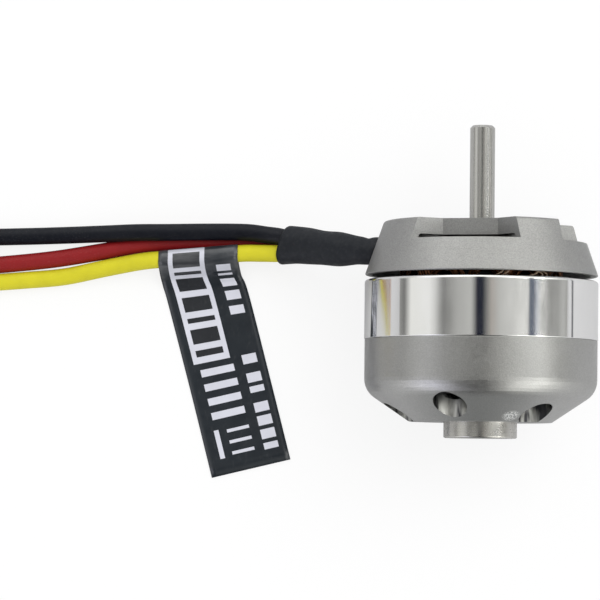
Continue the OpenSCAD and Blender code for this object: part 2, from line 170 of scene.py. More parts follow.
def frames(points):
    """A centre, a side and an up direction at each point of a line, without sudden turns."""
    out = []
    side = None
    for i, p in enumerate(points):
        ahead = (points[min(i + 1, len(points) - 1)] - points[max(i - 1, 0)]).normalized()
        guess = ahead.cross(Vector((0, 0, 1))) if side is None else side
        side = (guess - ahead * guess.dot(ahead)).normalized()
        out.append((p, side, side.cross(ahead)))
    return out


def add_object(name, data, material, body, replaced=()):
    obj = bpy.data.objects.new(name, data)
    bpy.context.scene.collection.objects.link(obj)
    if material is not None:
        data.materials.append(material)
    if body is not None:
        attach(obj, body)
    if replaced:
        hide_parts(*replaced)
    return obj


def mesh_object(name, verts, faces, material, body=None, replaced=(), flat=False):
    mesh = bpy.data.meshes.new(name)
    mesh.from_pydata([tuple(v) for v in verts], [], faces)
    bm = bmesh.new()
    bm.from_mesh(mesh)
    bmesh.ops.recalc_face_normals(bm, faces=bm.faces)
    bm.to_mesh(mesh)
    bm.free()
    if not flat:
        mesh.shade_smooth()
    return add_object(name, mesh, material, body, replaced)


def curve_object(name, lines, radius, material, body, replaced=(), sides=8):
    data = bpy.data.curves.new(name, "CURVE")
    data.dimensions = "3D"
    data.bevel_depth = radius
    data.bevel_resolution = max(0, sides // 2 - 2)
    data.use_fill_caps = True
    for line in lines:
        spline = data.splines.new("POLY")
        spline.points.add(len(line) - 1)
        for point, p in zip(spline.points, line):
            point.co = (*p, 1)
        spline.use_smooth = True
    return add_object(name, data, material, body, replaced)


def joined_rings(rings, close_line=False):
    """Quads between neighbouring rings of the same number of indices."""
    faces = []
    pairs = list(zip(rings, rings[1:]))
    if close_line:
        pairs.append((rings[-1], rings[0]))
    for a, b in pairs:
        n = len(a)
        faces += [(a[k], a[(k + 1) % n], b[(k + 1) % n], b[k]) for k in range(n)]
    return faces


def lathe(profile, place, steps=64):
    """Verts and faces of a closed outline of (radius, height) points turned about place's Z axis."""
    verts, rings = [], []
    for radius, height in profile:
        ring = []
        for k in range(steps if radius > 1e-9 else 1):
            a = 2 * math.pi * k / steps
            ring.append(len(verts))
            verts.append(place @ Vector((radius * math.cos(a), radius * math.sin(a), height)))
        rings.append(ring)
    faces = []
    for a, b in zip(rings, rings[1:] + rings[:1]):
        if len(a) == 1 and len(b) == 1:
            continue
        if len(a) == 1:
            faces += [(a[0], b[(k + 1) % steps], b[k]) for k in range(steps)]
        elif len(b) == 1:
            faces += [(a[k], a[(k + 1) % steps], b[0]) for k in range(steps)]
        else:
            faces += joined_rings([a, b])
    return verts, faces


# ---- Materials ----


class Shader:
    """A material and short ways to add nodes to it. Patterns follow the object's own coordinates."""

    def __init__(self, name, colour, metallic=0, roughness=0.5, **sockets):
        self.material = bpy.data.materials.new(name)
        self.material.use_nodes = True
        self.tree = self.material.node_tree
        self.base = self.tree.nodes["Principled BSDF"]
        self.base.inputs["Base Color"].default_value = (*colour, 1)
        self.base.inputs["Metallic"].default_value = metallic
        self.base.inputs["Roughness"].default_value = roughness
        for socket, value in sockets.items():
            self.base.inputs[socket.replace("_", " ")].default_value = value
        self.colour = colour
        self.tone = None
        self.roughness = roughness
        self.place = self.node("ShaderNodeTexCoord").outputs["Object"]

    def node(self, kind, **settings):
        node = self.tree.nodes.new(kind)
        for key, value in settings.items():
            setattr(node, key, value)
        return node

    def link(self, source, target):
        self.tree.links.new(source, target)

    def math(self, operation, a, b=None, c=None):
        node = self.node("ShaderNodeMath", operation=operation)
        for socket, value in zip(node.inputs, (a, b, c)):
            if value is None:
                continue
            if isinstance(value, (int, float)):
                socket.default_value = value
            else:
                self.link(value, socket)
        return node.outputs[0]

    def stretched(self, scale):
        node = self.node("ShaderNodeVectorMath", operation="MULTIPLY")
        self.link(self.place, node.inputs[0])
        node.inputs[1].default_value = scale
        return node.outputs[0]

    def noise(self, size, detail=2, stretch=(1, 1, 1), where=None):
        """Smooth noise from 0 to 1 with features of the given size in metres."""
        node = self.node("ShaderNodeTexNoise")
        node.inputs["Scale"].default_value = 1 / size
        node.inputs["Detail"].default_value = detail
        self.link(where or self.stretched(stretch), node.inputs["Vector"])
        return node.outputs["Fac"]

    def scratches(self, size, stretch):
        """Thin lines, 1 in a scratch and 0 beside it."""
        node = self.node("ShaderNodeTexVoronoi", feature="DISTANCE_TO_EDGE")
        node.inputs["Scale"].default_value = 1 / size
        self.link(self.stretched(stretch), node.inputs["Vector"])
        return self.between(node.outputs["Distance"], 0.03, 0)

    def between(self, value, start, end, low_out=0.0, high_out=1.0):
        node = self.node("ShaderNodeMapRange")
        self.link(value, node.inputs["Value"])
        node.inputs["From Min"].default_value = start
        node.inputs["From Max"].default_value = end
        node.inputs["To Min"].default_value = low_out
        node.inputs["To Max"].default_value = high_out
        return node.outputs["Result"]

    def mix(self, factor, a, b):
        node = self.node("ShaderNodeMix", data_type="RGBA")
        self.link(factor, node.inputs["Factor"])
        for socket, value in ((node.inputs["A"], a), (node.inputs["B"], b)):
            if isinstance(value, tuple):
                socket.default_value = (*value, 1)
            else:
                self.link(value, socket)
        return node.outputs["Result"]

    def shades(self, factor, darker, lighter, base=None):
        """The base colour times a factor between darker and lighter."""
        base = base or self.colour
        dark = tuple(min(1, c * darker) for c in base)
        light = tuple(min(1, c * lighter) for c in base)
        return self.mix(factor, dark, light)

    def set_colour(self, source):
        self.tone = source
        self.link(source, self.base.inputs["Base Color"])

    def vary_roughness(self, factor, spread):
        rough = self.between(factor, 0.25, 0.75, self.roughness - spread, self.roughness + spread)
        self.link(rough, self.base.inputs["Roughness"])

    def bump(self, *layers):
        """Stacks bumps, each a (height from 0 to 1, depth in metres) pair."""
        normal = None
        for height, depth in layers:
            node = self.node("ShaderNodeBump")
            node.inputs["Distance"].default_value = depth
            self.link(height, node.inputs["Height"])
            if normal is not None:
                self.link(normal, node.inputs["Normal"])
            normal = node.outputs["Normal"]
        self.link(normal, self.base.inputs["Normal"])

    def axes(self):
        node = self.node("ShaderNodeSeparateXYZ")
        self.link(self.place, node.inputs[0])
        return node.outputs

    def hypotenuse(self, a, b):
        return self.math("SQRT", self.math("ADD", self.math("MULTIPLY", a, a), self.math("MULTIPLY", b, b)))

    def shaft_radius(self):
        """The distance from the shaft's axis."""
        x, _, z = self.axes()
        return self.hypotenuse(x, z)

    def turned_place(self):
        """(radius, height along the shaft, 0), the same all round the shaft."""
        node = self.node("ShaderNodeCombineXYZ")
        self.link(self.shaft_radius(), node.inputs[0])
        self.link(self.axes()[1], node.inputs[1])
        return node.outputs[0]


def blasted_metal(name, colour, roughness, grain):
    """Bead-blasted aluminium: fine dimples, cloudy tone and a faintly brighter grain."""
    s = Shader(name, colour, metallic=1, roughness=roughness)
    fine = s.noise(grain, 3)
    cloud = s.noise(4 * MM, 3)
    tone = s.mix(s.between(fine, 0.35, 0.65), s.shades(cloud, 0.8, 0.98), s.shades(cloud, 1.02, 1.22))
    s.set_colour(tone)
    s.vary_roughness(s.noise(0.6 * MM, 2), 0.05)
    s.bump((fine, 0.012 * MM), (s.noise(3 * grain, 2), 0.01 * MM))
    return s


def mount_metal():
    """Blasted mount, with painted shade: the bearing tube behind its face is coloured near black."""
    s = blasted_metal("blasted_mount", (0.36, 0.36, 0.355), 0.5, 0.14 * MM)
    # Painted shade: near black on the bearing tube's inside, behind the mount's face.
    inside = s.between(s.shaft_radius(), bearing_tube_r, bearing_tube_r - 0.8 * MM)
    behind = s.between(s.axes()[1], -2.6 * MM, -3.4 * MM)
    s.set_colour(s.mix(s.math("MULTIPLY", inside, behind), s.tone, (0.02, 0.02, 0.022)))
    return s.material


def near_vents(s, circle_r, turn):
    """1 on the walls of three evenly spaced vent holes and 0 elsewhere."""
    x, _, z = s.axes()
    step = math.radians(120)
    around = s.math("SUBTRACT", s.math("ARCTAN2", x, z), turn - 3.5 * step)
    near = s.math("SUBTRACT", s.math("MODULO", around, step), step / 2)
    radius = s.shaft_radius()
    across = s.math("MULTIPLY", radius, s.math("SINE", near))
    out = s.math("SUBTRACT", s.math("MULTIPLY", radius, s.math("COSINE", near)), circle_r)
    return s.between(s.hypotenuse(across, out), vent_r + 0.06 * MM, vent_r + 0.02 * MM)


def bell_metal():
    """Satin bell. Its vent hole walls are streaked with bright bare metal near the lip and coloured near
    black further in, as painted shade, with a patch of near-white flecks by the boss.
    """
    s = blasted_metal("satin_bell", (0.4, 0.4, 0.39), 0.36, 0.12 * MM)
    outer = near_vents(s, vent_outer_r, vent_turn)
    inner = near_vents(s, vent_inner_r, vent_turn + math.radians(60))
    lines = s.between(s.noise(0.9 * MM, 2, (1, 0.2, 1)), 0.42, 0.6)
    # Painted shade: the vent walls go near black deeper in from the lip; near the lip they are streaked
    # with bright bare metal.
    lip = s.between(s.axes()[1], vent_lip_y, vent_lip_y - vent_depth)
    vent_wall_metal_and_shade = s.mix(s.math("MULTIPLY", lines, lip), (0.06, 0.06, 0.065), (0.6, 0.6, 0.57))
    s.set_colour(s.mix(s.math("MAXIMUM", outer, inner), s.tone, vent_wall_metal_and_shade))
    # A small patch of near-white flecks by the boss.
    apart = s.node("ShaderNodeVectorMath", operation="DISTANCE")
    s.link(s.place, apart.inputs[0])
    apart.inputs[1].default_value = bright_fleck_centre
    spot = s.between(apart.outputs["Value"], 1.2 * MM, 0.7 * MM)
    flecks = s.between(s.noise(0.14 * MM, 2), 0.46, 0.52)
    s.set_colour(s.mix(s.math("MULTIPLY", spot, flecks), s.tone, (1, 1, 0.98)))
    return s.material


def chrome():
    """The ring, polished round the shaft, so what it mirrors is smeared along the shaft."""
    s = Shader(
        "polished_ring", (0.86, 0.86, 0.85), metallic=1, roughness=0.11,
        Anisotropic=1, Anisotropic_Rotation=0.25,
    )
    smear = s.noise(2.5 * MM, 3, (1, 0.3, 1))
    lines = s.noise(0.12 * MM, 2, where=s.turned_place())
    s.set_colour(s.shades(smear, 0.94, 1.03))
    rough = s.math("ADD", s.between(smear, 0.3, 0.7, 0.08, 0.12), s.math("MULTIPLY", lines, 0.02))
    s.link(rough, s.base.inputs["Roughness"])
    round_shaft = s.node("ShaderNodeTangent", direction_type="RADIAL", axis="Y")
    s.link(round_shaft.outputs[0], s.base.inputs["Tangent"])
    s.bump((s.noise(3 * MM, 1, (1, 0.4, 1)), 0.004 * MM), (lines, 0.0003 * MM))
    return s.material


def ground_steel():
    """The shaft: ground steel with lengthwise streaks."""
    s = Shader("ground_shaft", (0.54, 0.535, 0.51), metallic=1, roughness=0.25)
    streaks = s.noise(0.22 * MM, 3, (1, 0.015, 1))
    rings = s.noise(0.05 * MM, 2, where=s.turned_place())
    darker, lighter = s.shades(streaks, 0.7, 1.1), s.shades(streaks, 0.85, 1.25)
    s.set_colour(s.mix(s.between(rings, 0.3, 0.7), darker, lighter))
    s.vary_roughness(streaks, 0.06)
    s.bump((streaks, 0.004 * MM), (rings, 0.002 * MM))
    return s.material


def turned_metal(name, colour, roughness, pitch):
    """Metal with fine turning rings about the shaft."""
    s = Shader(name, colour, metallic=1, roughness=roughness)
    rings = s.noise(pitch, 2, where=s.turned_place())
    stain = s.noise(1.2 * MM, 3)
    s.set_colour(s.mix(s.between(rings, 0.3, 0.7), s.shades(stain, 0.75, 1.0), s.shades(stain, 0.95, 1.2)))
    s.vary_roughness(stain, 0.05)
    s.bump((rings, 0.006 * MM))
    return s.material


def plain_metal(name, colour, roughness):
    """Small polished or plated metal pieces."""
    s = Shader(name, colour, metallic=1, roughness=roughness)
    stain = s.noise(0.8 * MM, 3)
    s.set_colour(s.shades(stain, 0.82, 1.12))
    s.vary_roughness(s.noise(0.3 * MM, 2), 0.05)
    s.bump((s.noise(0.1 * MM, 2), 0.002 * MM), (s.scratches(0.6 * MM, (1, 0.2, 1)), 0.001 * MM))
    return s.material


def laminated_steel():
    """The stack of thin sheets, with a dark line at each joint between sheets."""
    s = Shader("laminations", (0.2, 0.2, 0.21), metallic=0.9, roughness=0.42)
    sheet = 0.35 * MM
    saw = s.math("FRACT", s.math("DIVIDE", s.axes()[1], sheet))
    joint = s.between(s.math("ABSOLUTE", s.math("SUBTRACT", saw, 0.5)), 0.32, 0.46)
    rust = s.noise(0.7 * MM, 4)
    s.set_colour(s.mix(joint, s.shades(rust, 0.8, 1.25), (0.03, 0.03, 0.03)))
    s.vary_roughness(rust, 0.08)
    s.bump((s.math("SUBTRACT", 1.0, joint), 0.03 * MM))
    return s.material


def enamelled_copper():
    # Painted shade: the wire is coloured far darker than copper, so the coils read dim inside the stator.
    s = Shader("enamelled_wire_painted_shade", (0.15, 0.06, 0.025), metallic=0.85, roughness=0.34)
    tint = s.noise(1.5 * MM, 3)
    s.set_colour(s.mix(tint, (0.05, 0.02, 0.01), (0.18, 0.075, 0.03)))
    s.vary_roughness(s.noise(0.4 * MM, 2), 0.06)
    s.bump((s.noise(0.15 * MM, 2), 0.004 * MM))
    return s.material


def bright_copper():
    s = Shader("bare_strand", (0.95, 0.66, 0.48), metallic=0.4, roughness=0.35)
    s.set_colour(s.shades(s.noise(0.5 * MM, 2), 0.75, 1.15))
    s.bump((s.noise(0.1 * MM, 2), 0.003 * MM))
    return s.material


def silicone(name, colour):
    """Soft lead insulation: slightly uneven, with specks of dust."""
    s = Shader(name, colour, roughness=0.48, Specular_IOR_Level=0.22)
    mottle = s.noise(1.8 * MM, 3)
    dust = s.between(s.noise(0.16 * MM, 4), 0.58, 0.8, 0, 0.06)
    s.set_colour(s.mix(dust, s.shades(mottle, 0.86, 1.1), (0.45, 0.43, 0.4)))
    s.vary_roughness(s.noise(0.7 * MM, 3), 0.09)
    s.bump((s.noise(2.2 * MM, 2, (0.5, 1, 1)), 0.05 * MM), (s.noise(0.12 * MM, 3), 0.006 * MM))
    return s.material


def heat_shrink(name, colour):
    """Shrunk tubing: satin, with small wrinkles and a dusty bloom."""
    s = Shader(name, colour, roughness=0.55, Specular_IOR_Level=0.28)
    bloom = s.between(s.noise(0.5 * MM, 4), 0.5, 0.8, 0, 0.03)
    s.set_colour(s.mix(bloom, s.shades(s.noise(2 * MM, 3), 0.8, 1.2), (0.3, 0.29, 0.28)))
    s.vary_roughness(s.noise(0.8 * MM, 3), 0.1)
    s.bump((s.noise(1.1 * MM, 2), 0.06 * MM), (s.noise(0.15 * MM, 3), 0.012 * MM))
    return s.material


def vinyl(name, colour, roughness):
    """Label film: smooth, a little wavy, with light scuffs, and a paler streaky band along its top where it
    wraps over a lead, which is a painted highlight.
    """
    s = Shader(name, colour, roughness=roughness, Coat_Weight=0.25, Coat_Roughness=0.2)
    scuff = s.between(s.noise(0.35 * MM, 4, (1, 0.4, 1)), 0.58, 0.85, 0, 0.05)
    film = s.mix(scuff, s.shades(s.noise(3 * MM, 3), 0.88, 1.1), (0.4, 0.4, 0.4))
    # Painted highlight: a paler streaky band on top of the film where it wraps over the lead.
    painted_highlight_on_wrap = s.between(s.axes()[2], -12.2 * MM, -11 * MM)
    streaks = s.between(s.noise(0.7 * MM, 2, (0.25, 1, 1)), 0.3, 0.7, 0.04, 0.22)
    s.set_colour(s.mix(s.math("MULTIPLY", painted_highlight_on_wrap, streaks), film, (0.3, 0.3, 0.31)))
    s.vary_roughness(s.noise(1.5 * MM, 3), 0.07)
    s.bump((s.noise(4 * MM, 2), 0.08 * MM), (s.noise(0.2 * MM, 2), 0.003 * MM))
    return s.material


def moulded_plastic(name, colour, roughness):
    s = Shader(name, colour, roughness=roughness)
    s.set_colour(s.shades(s.noise(1 * MM, 3), 0.85, 1.15))
    s.vary_roughness(s.noise(0.5 * MM, 2), 0.06)
    s.bump((s.noise(0.12 * MM, 3), 0.006 * MM))
    return s.material


def floor_material():
    """A white floor with a faint shadow. Polished metal mirrors it as a grey table.

    For reflections the grey darkens beyond the bell's end as a painted shadow, and has a painted dark strip
    at one side, which only reflections see.
    """
    s = Shader("studio_floor", (0.86, 0.86, 0.86), roughness=0.8)
    path = s.node("ShaderNodeLightPath")
    cloud = s.shades(s.noise(30 * MM, 3), 0.99, 1.0)
    x, y, _ = s.axes()
    # Painted shadow: for reflections, the floor darkens beyond the bell's end.
    painted_shadow_beyond_bell = s.between(y, -20 * MM, -45 * MM)
    ahead = s.math("SUBTRACT", -10 * MM, y)
    beside = s.between(s.math("DIVIDE", s.math("ABSOLUTE", x), ahead), 0.1, 0.65)
    far = s.mix(s.between(ahead, 90 * MM, 200 * MM), (0.29, 0.3, 0.3), (0.12, 0.12, 0.12))
    painted_end_shadow = s.mix(beside, far, (0.66, 0.66, 0.67))
    # Painted shade: a dark strip on the floor, seen only in reflections.
    painted_strip_x = 185 * MM
    from_edge = s.math("ABSOLUTE", s.math("SUBTRACT", x, painted_strip_x))
    side_grey = s.mix(s.between(from_edge, 28 * MM, 34 * MM), (0.06, 0.06, 0.07), (0.57, 0.57, 0.58))
    mirrored = s.mix(painted_shadow_beyond_bell, side_grey, painted_end_shadow)
    s.set_colour(s.mix(path.outputs["Is Glossy Ray"], cloud, mirrored))
    glow = s.node("ShaderNodeEmission")
    glow.inputs["Color"].default_value = (1, 1, 1, 1)
    blend = s.node("ShaderNodeMixShader")
    s.link(s.math("MULTIPLY", path.outputs["Is Camera Ray"], 0.82), blend.inputs[0])
    s.link(s.base.outputs[0], blend.inputs[1])
    s.link(glow.outputs[0], blend.inputs[2])
    output = s.tree.nodes["Material Output"]
    s.link(blend.outputs[0], output.inputs["Surface"])
    return s.material


# ---- Leads, sleeve and plugs ----


def make_lead(name, material):
    route = metres(ROUTES[name])
    ahead = (metres(SLEEVE_ROUTE)[-2] - route[0]).normalized()
    line = smooth([route[0] + ahead * 1.6 * MM] + route, 5)
    lead = curve_object(
        f"silicone_lead_{name}", [line], lead_r, material, "stator",
        [f"lead_{name}"], sides=24,
    )
    return lead, line


def sleeve_radius(along, angle, radius):
    """A tube shrunk onto three leads: rounder at the motor, three soft lobes at its open end."""
    lobes = 0.07 * along * math.cos(3 * (angle + math.radians(90)))
    dents = 0.05 * noise.noise(Vector((along * 5, math.cos(angle) * 1.2, math.sin(angle) * 1.2)))
    pinch = -0.1 * math.exp(-(((along - 0.2) / 0.045) ** 2)) * (0.5 + 0.5 * math.sin(angle + 1.2))
    return radius * (1 + lobes + dents + pinch)


def make_sleeve(material):
    """The sleeve's outside, and its bore for the last two gaps of its route."""
    per_gap, sides = 8, 48
    centre = smooth(metres(SLEEVE_ROUTE), per_gap)
    radii = [Vector((r, 0, 0)) for r in SLEEVE_RADII]
    count = len(centre)
    verts, outer, bore = [], [], []
    for i, (p, side, up) in enumerate(frames(centre)):
        along = i / (count - 1)
        radius = spline_point(radii, i / per_gap).x * MM
        ahead = up.cross(side)
        layers = [(outer, 0)]
        if i >= count - 2 * per_gap:
            layers.append((bore, sleeve_wall))
        for rings, shrink in layers:
            ring = []
            for k in range(sides):
                a = 2 * math.pi * k / sides
                r = sleeve_radius(along, a, radius) - shrink
                out = side * math.cos(a) + up * math.sin(a)
                cut = (0.55 + 0.6 * out.y) * MM * max(0, along - 0.8) / 0.2
                ring.append(len(verts))
                verts.append(p + out * r - ahead * cut)
            rings.append(ring)
    faces = joined_rings(outer) + joined_rings(bore) + joined_rings([outer[-1], bore[-1]])
    faces += [tuple(outer[0]), tuple(bore[0])]
    return mesh_object("shrink_sleeve", verts, faces, material, "stator", ["lead_sleeve"])


def plug_place(name):
    """The frame at a lead's end: Z runs along -X, out through the plug."""
    end = Vector(ROUTES[name][-1]) * MM
    return Matrix.Translation(end) @ Matrix.Rotation(-math.pi / 2, 4, "Y")


def make_plug(name, material):
    """A bullet plug: solder cup, collar, core and four sprung leaves."""
    place = plug_place(name)
    body = [
        (0.7, 1), (0.7, 0.05), (0.78, 0), (1.22, 0), (1.3, 0.08), (1.3, 4.9), (1.22, 5), (1.22, 5.12),
        (1.35, 5.2), (1.35, 5.74), (1.29, 5.8), (0.72, 5.8), (0.72, 10.6), (0.62, 11.1), (0.4, 11.25),
        (0, 11.3), (0, 1),
    ]
    verts, faces = lathe([(r * MM, h * MM) for r, h in body], place, 48)
    leaf = [(0.98, 5.8), (1.0, 6.2), (1.03, 7.2), (1.04, 8.2), (1.02, 9.4), (0.96, 10.5), (0.86, 10.9)]
    leaf_thickness = 0.2
    across = 10
    for quarter in range(4):
        turns = [math.radians(90 * quarter + 8 + 74 * k / (across - 1)) for k in range(across)]
        rings = []
        for leaf_r, height in leaf:
            ring = []
            for r, order in ((leaf_r, turns), (leaf_r - leaf_thickness, turns[::-1])):
                for a in order:
                    ring.append(len(verts))
                    verts.append(place @ (Vector((r * math.cos(a), r * math.sin(a), height)) * MM))
            rings.append(ring)
        faces += joined_rings(rings) + [tuple(rings[0]), tuple(rings[-1])]
    return mesh_object(
        f"bullet_plug_{name}", verts, faces, material, "stator", [f"connector_{name}"],
    )


def make_plug_sleeve(name, material):
    """Heat-shrink over the solder cup, following what it was shrunk onto."""
    place = plug_place(name)
    outline = [
        (1.09, -3), (1.2, -2.95), (1.26, -2.6), (1.27, -1.2), (1.3, -0.6), (1.42, -0.1), (1.5, 0.4),
        (1.53, 1.2), (1.51, 2.6), (1.53, 3.8), (1.5, 4.3), (1.42, 4.4), (1.31, 4.38), (1.31, 0.05),
        (1.12, -0.3),
    ]
    outside_rows = range(1, 12)
    steps = 48
    verts, faces = lathe([(r * MM, h * MM) for r, h in outline], place, steps)
    seed = {"black": 1, "red": 5, "yellow": 9}[name]
    axis = place.to_3x3() @ Vector((0, 0, 1))
    origin = place.translation
    for k, v in enumerate(verts):
        if k // steps in outside_rows:
            out = (v - origin) - axis * (v - origin).dot(axis)
            wobble = noise.noise(Vector(v) * 700 + Vector((seed, 0, 0)))
            verts[k] = v + out.normalized() * wobble * 0.04 * MM
    return mesh_object(
        f"plug_sleeve_{name}", verts, faces, material, "stator",
        [f"connector_sleeve_{name}"],
    )


# ---- Label ----

# Its two edges, from the lead down to the floor and out to its end
TAG_LEFT = [
    (-39.25, -5.2, -12.6), (-38.85, -7, -13.5), (-38.05, -9.7, -14), (-35.1, -20.6, -14), (-32.4, -31, -14),
]
TAG_RIGHT = [
    (-29.5, -4.3, -12), (-29, -6, -13.2), (-28.1, -8.2, -14), (-25.4, -18.3, -14), (-22.7, -28.6, -14),
]


def tag_edge(rows, centre):
    """One edge of the folded film: up the lower layer, round the lead and down the upper layer."""
    flat = metres(rows[1:])
    lower = [p + Vector((0, 0, 0.7 * tag_film)) for p in reversed(flat)]
    upper = [p + Vector((0, 0, 1.9 * tag_film)) for p in flat]
    wrap_r = lead_r + 0.75 * tag_film
    wrap = []
    for degrees in (-70, -110, -150, -190, -230, -270, -305):
        a = math.radians(degrees)
        wrap.append(centre + Vector((0, -math.cos(a), math.sin(a))) * wrap_r)
    leaving = (Vector(rows[0]) + Vector((0.16, -0.75, 0.5))) * MM
    return lower + wrap + [leaving] + upper


def make_tag(material):
    """The label, folded over a stretch of the yellow lead."""
    start, end = (Vector(YELLOW_ROUTE[i]) * MM for i in (2, 5))
    edges = []
    for rows in (TAG_LEFT, TAG_RIGHT):
        share = (rows[0][0] * MM - start.x) / (end.x - start.x)
        edges.append(tag_edge(rows, start.lerp(end, share)))
    left, right = (smooth(edge, 8) for edge in edges)
    columns = 16
    verts, rows = [], []
    for a, b in zip(left, right):
        rows.append(list(range(len(verts), len(verts) + columns + 1)))
        verts += [a.lerp(b, k / columns) for k in range(columns + 1)]
    faces = [
        (r[k], r[k + 1], s[k + 1], s[k]) for r, s in zip(rows, rows[1:]) for k in range(columns)
    ]
    tag = mesh_object("flag_label", verts, faces, material, "stator", ["lead_tag"])
    solid = tag.modifiers.new("film", "SOLIDIFY")
    solid.thickness = tag_film
    solid.offset = 0
    return tag, left, right


def rim(rows):
    """The outline of a grid of indices, in order."""
    far_side = [row[-1] for row in rows[1:]]
    near_side = [row[0] for row in rows[-2:0:-1]]
    return rows[0] + far_side + rows[-1][-2::-1] + near_side


def make_print(name, blocks, tag_edges, material, lift):
    """Plain printed blocks on the label's upper layer, each (start, end, from, to).

    Start and end are distances along the label from its fold over the lead, from and to are shares
    of its width.
    """
    left, right = tag_edges
    fold = max(range(len(left)), key=lambda k: left[k].y)
    reach = [0.0]
    for k in range(fold, len(left) - 1):
        middle = (left[k] + right[k]) / 2, (left[k + 1] + right[k + 1]) / 2
        reach.append(reach[-1] + (middle[1] - middle[0]).length)

    def surface(distance, share):
        k = 0
        while k < len(reach) - 2 and reach[k + 1] < distance:
            k += 1
        f = (distance - reach[k]) / (reach[k + 1] - reach[k])
        i = fold + k
        a, b = left[i].lerp(left[i + 1], f), right[i].lerp(right[i + 1], f)
        ahead = (left[i + 1] - left[i] + right[i + 1] - right[i]).normalized()
        normal = ahead.cross(b - a).normalized()
        return a.lerp(b, share), normal if normal.z > 0 else -normal

    verts, faces = [], []
    for first, last, side_from, side_to in blocks:
        steps = max(2, int((last - first) / 0.25))
        bottom, top = [], []
        for height, rows in ((tag_film / 2, bottom), (tag_film / 2 + lift, top)):
            for k in range(steps + 1):
                distance = (first + (last - first) * k / steps) * MM
                row = []
                for share in (side_from, (side_from + side_to) / 2, side_to):
                    point, normal = surface(distance, share)
                    row.append(len(verts))
                    verts.append(point + normal * height)
                rows.append(row)
        for rows in (bottom, top):
            faces += [(r[k], r[k + 1], s[k + 1], s[k]) for r, s in zip(rows, rows[1:]) for k in (0, 1)]
        faces += joined_rings([rim(bottom), rim(top)])
    return mesh_object(name, verts, faces, material, "stator", flat=True)


# ---- Windings ----


def wire_loop(radial, tangent, radius_from, radius_to, half, steps=28):
    """One turn round a tooth, moving out along the tooth from radius_from to radius_to."""
    flattened = 0.95
    points = []
    for k in range(steps):
        f = k / steps
        a = 2 * math.pi * f
        across = half * math.sin(a)
        arc = half * math.cos(a)
        height = (insulator_front if arc > 0 else insulator_rear) + arc * flattened
        r = radius_from + (radius_to - radius_from) * f
        points.append(radial * r + tangent * across + Vector((0, height, 0)))
    return points


def tooth_winding(tooth):
    """Three layers of turns, as many as fit the widening slot."""
    a = 2 * math.pi * tooth / tooth_count
    radial, tangent = Vector((math.sin(a), 0, math.cos(a))), Vector((math.cos(a), 0, -math.sin(a)))
    pitch = 2.1 * wire_r
    layers = [(6.65, 9.7), (7.15, 9.7), (8.55, 9.7)]
    line = []
    for layer, (start, end) in enumerate(layers):
        half = tooth_half + wire_r * (1 + 1.9 * layer)
        turns = int((end - start) * MM / pitch)
        radii = [start * MM + pitch * i for i in range(turns + 1)]
        if layer % 2:
            radii.reverse()
        for r0, r1 in zip(radii, radii[1:]):
            line += wire_loop(radial, tangent, r0, r1, half)
    return line


def make_windings(material):
    for phase, letter in enumerate("abc"):
        lines = [tooth_winding(k) for k in range(phase, tooth_count, 3)]
        curve_object(
            f"wound_phase_{letter}", lines, wire_r, material, "stator",
            [f"phase_{letter}_coils"], sides=6,
        )


# Where each loose strand starts and ends, in degrees from the top towards +X
STRANDS = [(3, 13), (7, 16), (24, 35), (39, 27), (43, 30)]


def make_loose_strands(material):
    """A few fine strands that cross the gap beside the ring, each a bow of (radius, height) points."""
    bow = [(10.3, -7), (10.9, -6.95), (11.8, -6.75), (11.9, -6.45), (11, -6.1), (9.8, -5.8)]
    lines = []
    for first, last in STRANDS:
        line = []
        for i, (r, height) in enumerate(bow):
            a = math.radians(first + (last - first) * i / (len(bow) - 1))
            line.append((r * math.sin(a), height, r * math.cos(a)))
        lines.append(smooth(metres(line), 6))
    curve_object("loose_strands", lines, strand_r, material, "stator", sides=6)


def make_tails(material):
    """Each winding end is two strands twisted together."""
    lines = []
    for route in TAIL_ROUTES:
        centre = smooth(metres(route), 12)
        for strand in (0, math.pi):
            line = []
            for i, (p, side, up) in enumerate(frames(centre)):
                a = strand + i * 0.3
                line.append(p + (side * math.cos(a) + up * math.sin(a)) * tail_strand_r)
            lines.append(line)
    curve_object("twisted_tails", lines, tail_strand_r, material, "stator", ["winding_tails"])


# ---- Light and floor ----


def make_floor():
    reach = 3
    corners = [(-reach, -reach), (reach, -reach), (reach, reach), (-reach, reach)]
    verts = [(x, y, floor_z) for x, y in corners]
    mesh_object("floor", verts, [(0, 1, 2, 3)], floor_material(), flat=True)


# What metal reflects at each turn from the top towards +X, in degrees: level, or red, green and
# blue. The middle bands are level with the motor and the near bands lie beside them. The tip and
# end bands lie further towards the shaft's tip and the bell's end, and the last table lies straight
# beyond the bell's end.
MIDDLE_BANDS = [
    (-95, 0.48), (-90, 0.3), (-84, 0.17), (-80, 0.5), (-76, 0.88), (-55, 0.86), (-49, 0.66), (-44, 0.35),
    (-40, 0.18), (-34, 0.27), (-26, 0.43), (-13, 0.53), (-10, 0.28), (-7, (0.02, 0.02, 0.035)),
    (-2, (0.01, 0.015, 0.03)), (2, 0.17), (7, (0.42, 0.39, 0.36)), (15, 0.5), (43.5, 0.5),
    (45.5, (0.06, 0.08, 0.13)), (49.5, (0.1, 0.12, 0.17)), (53, (0.2, 0.22, 0.27)), (58, 0.33), (63, 0.36),
    (70, 0.25), (77, 0.32), (85, 0.48), (93, 0.35), (98, 0.16), (101, 0.7),
]
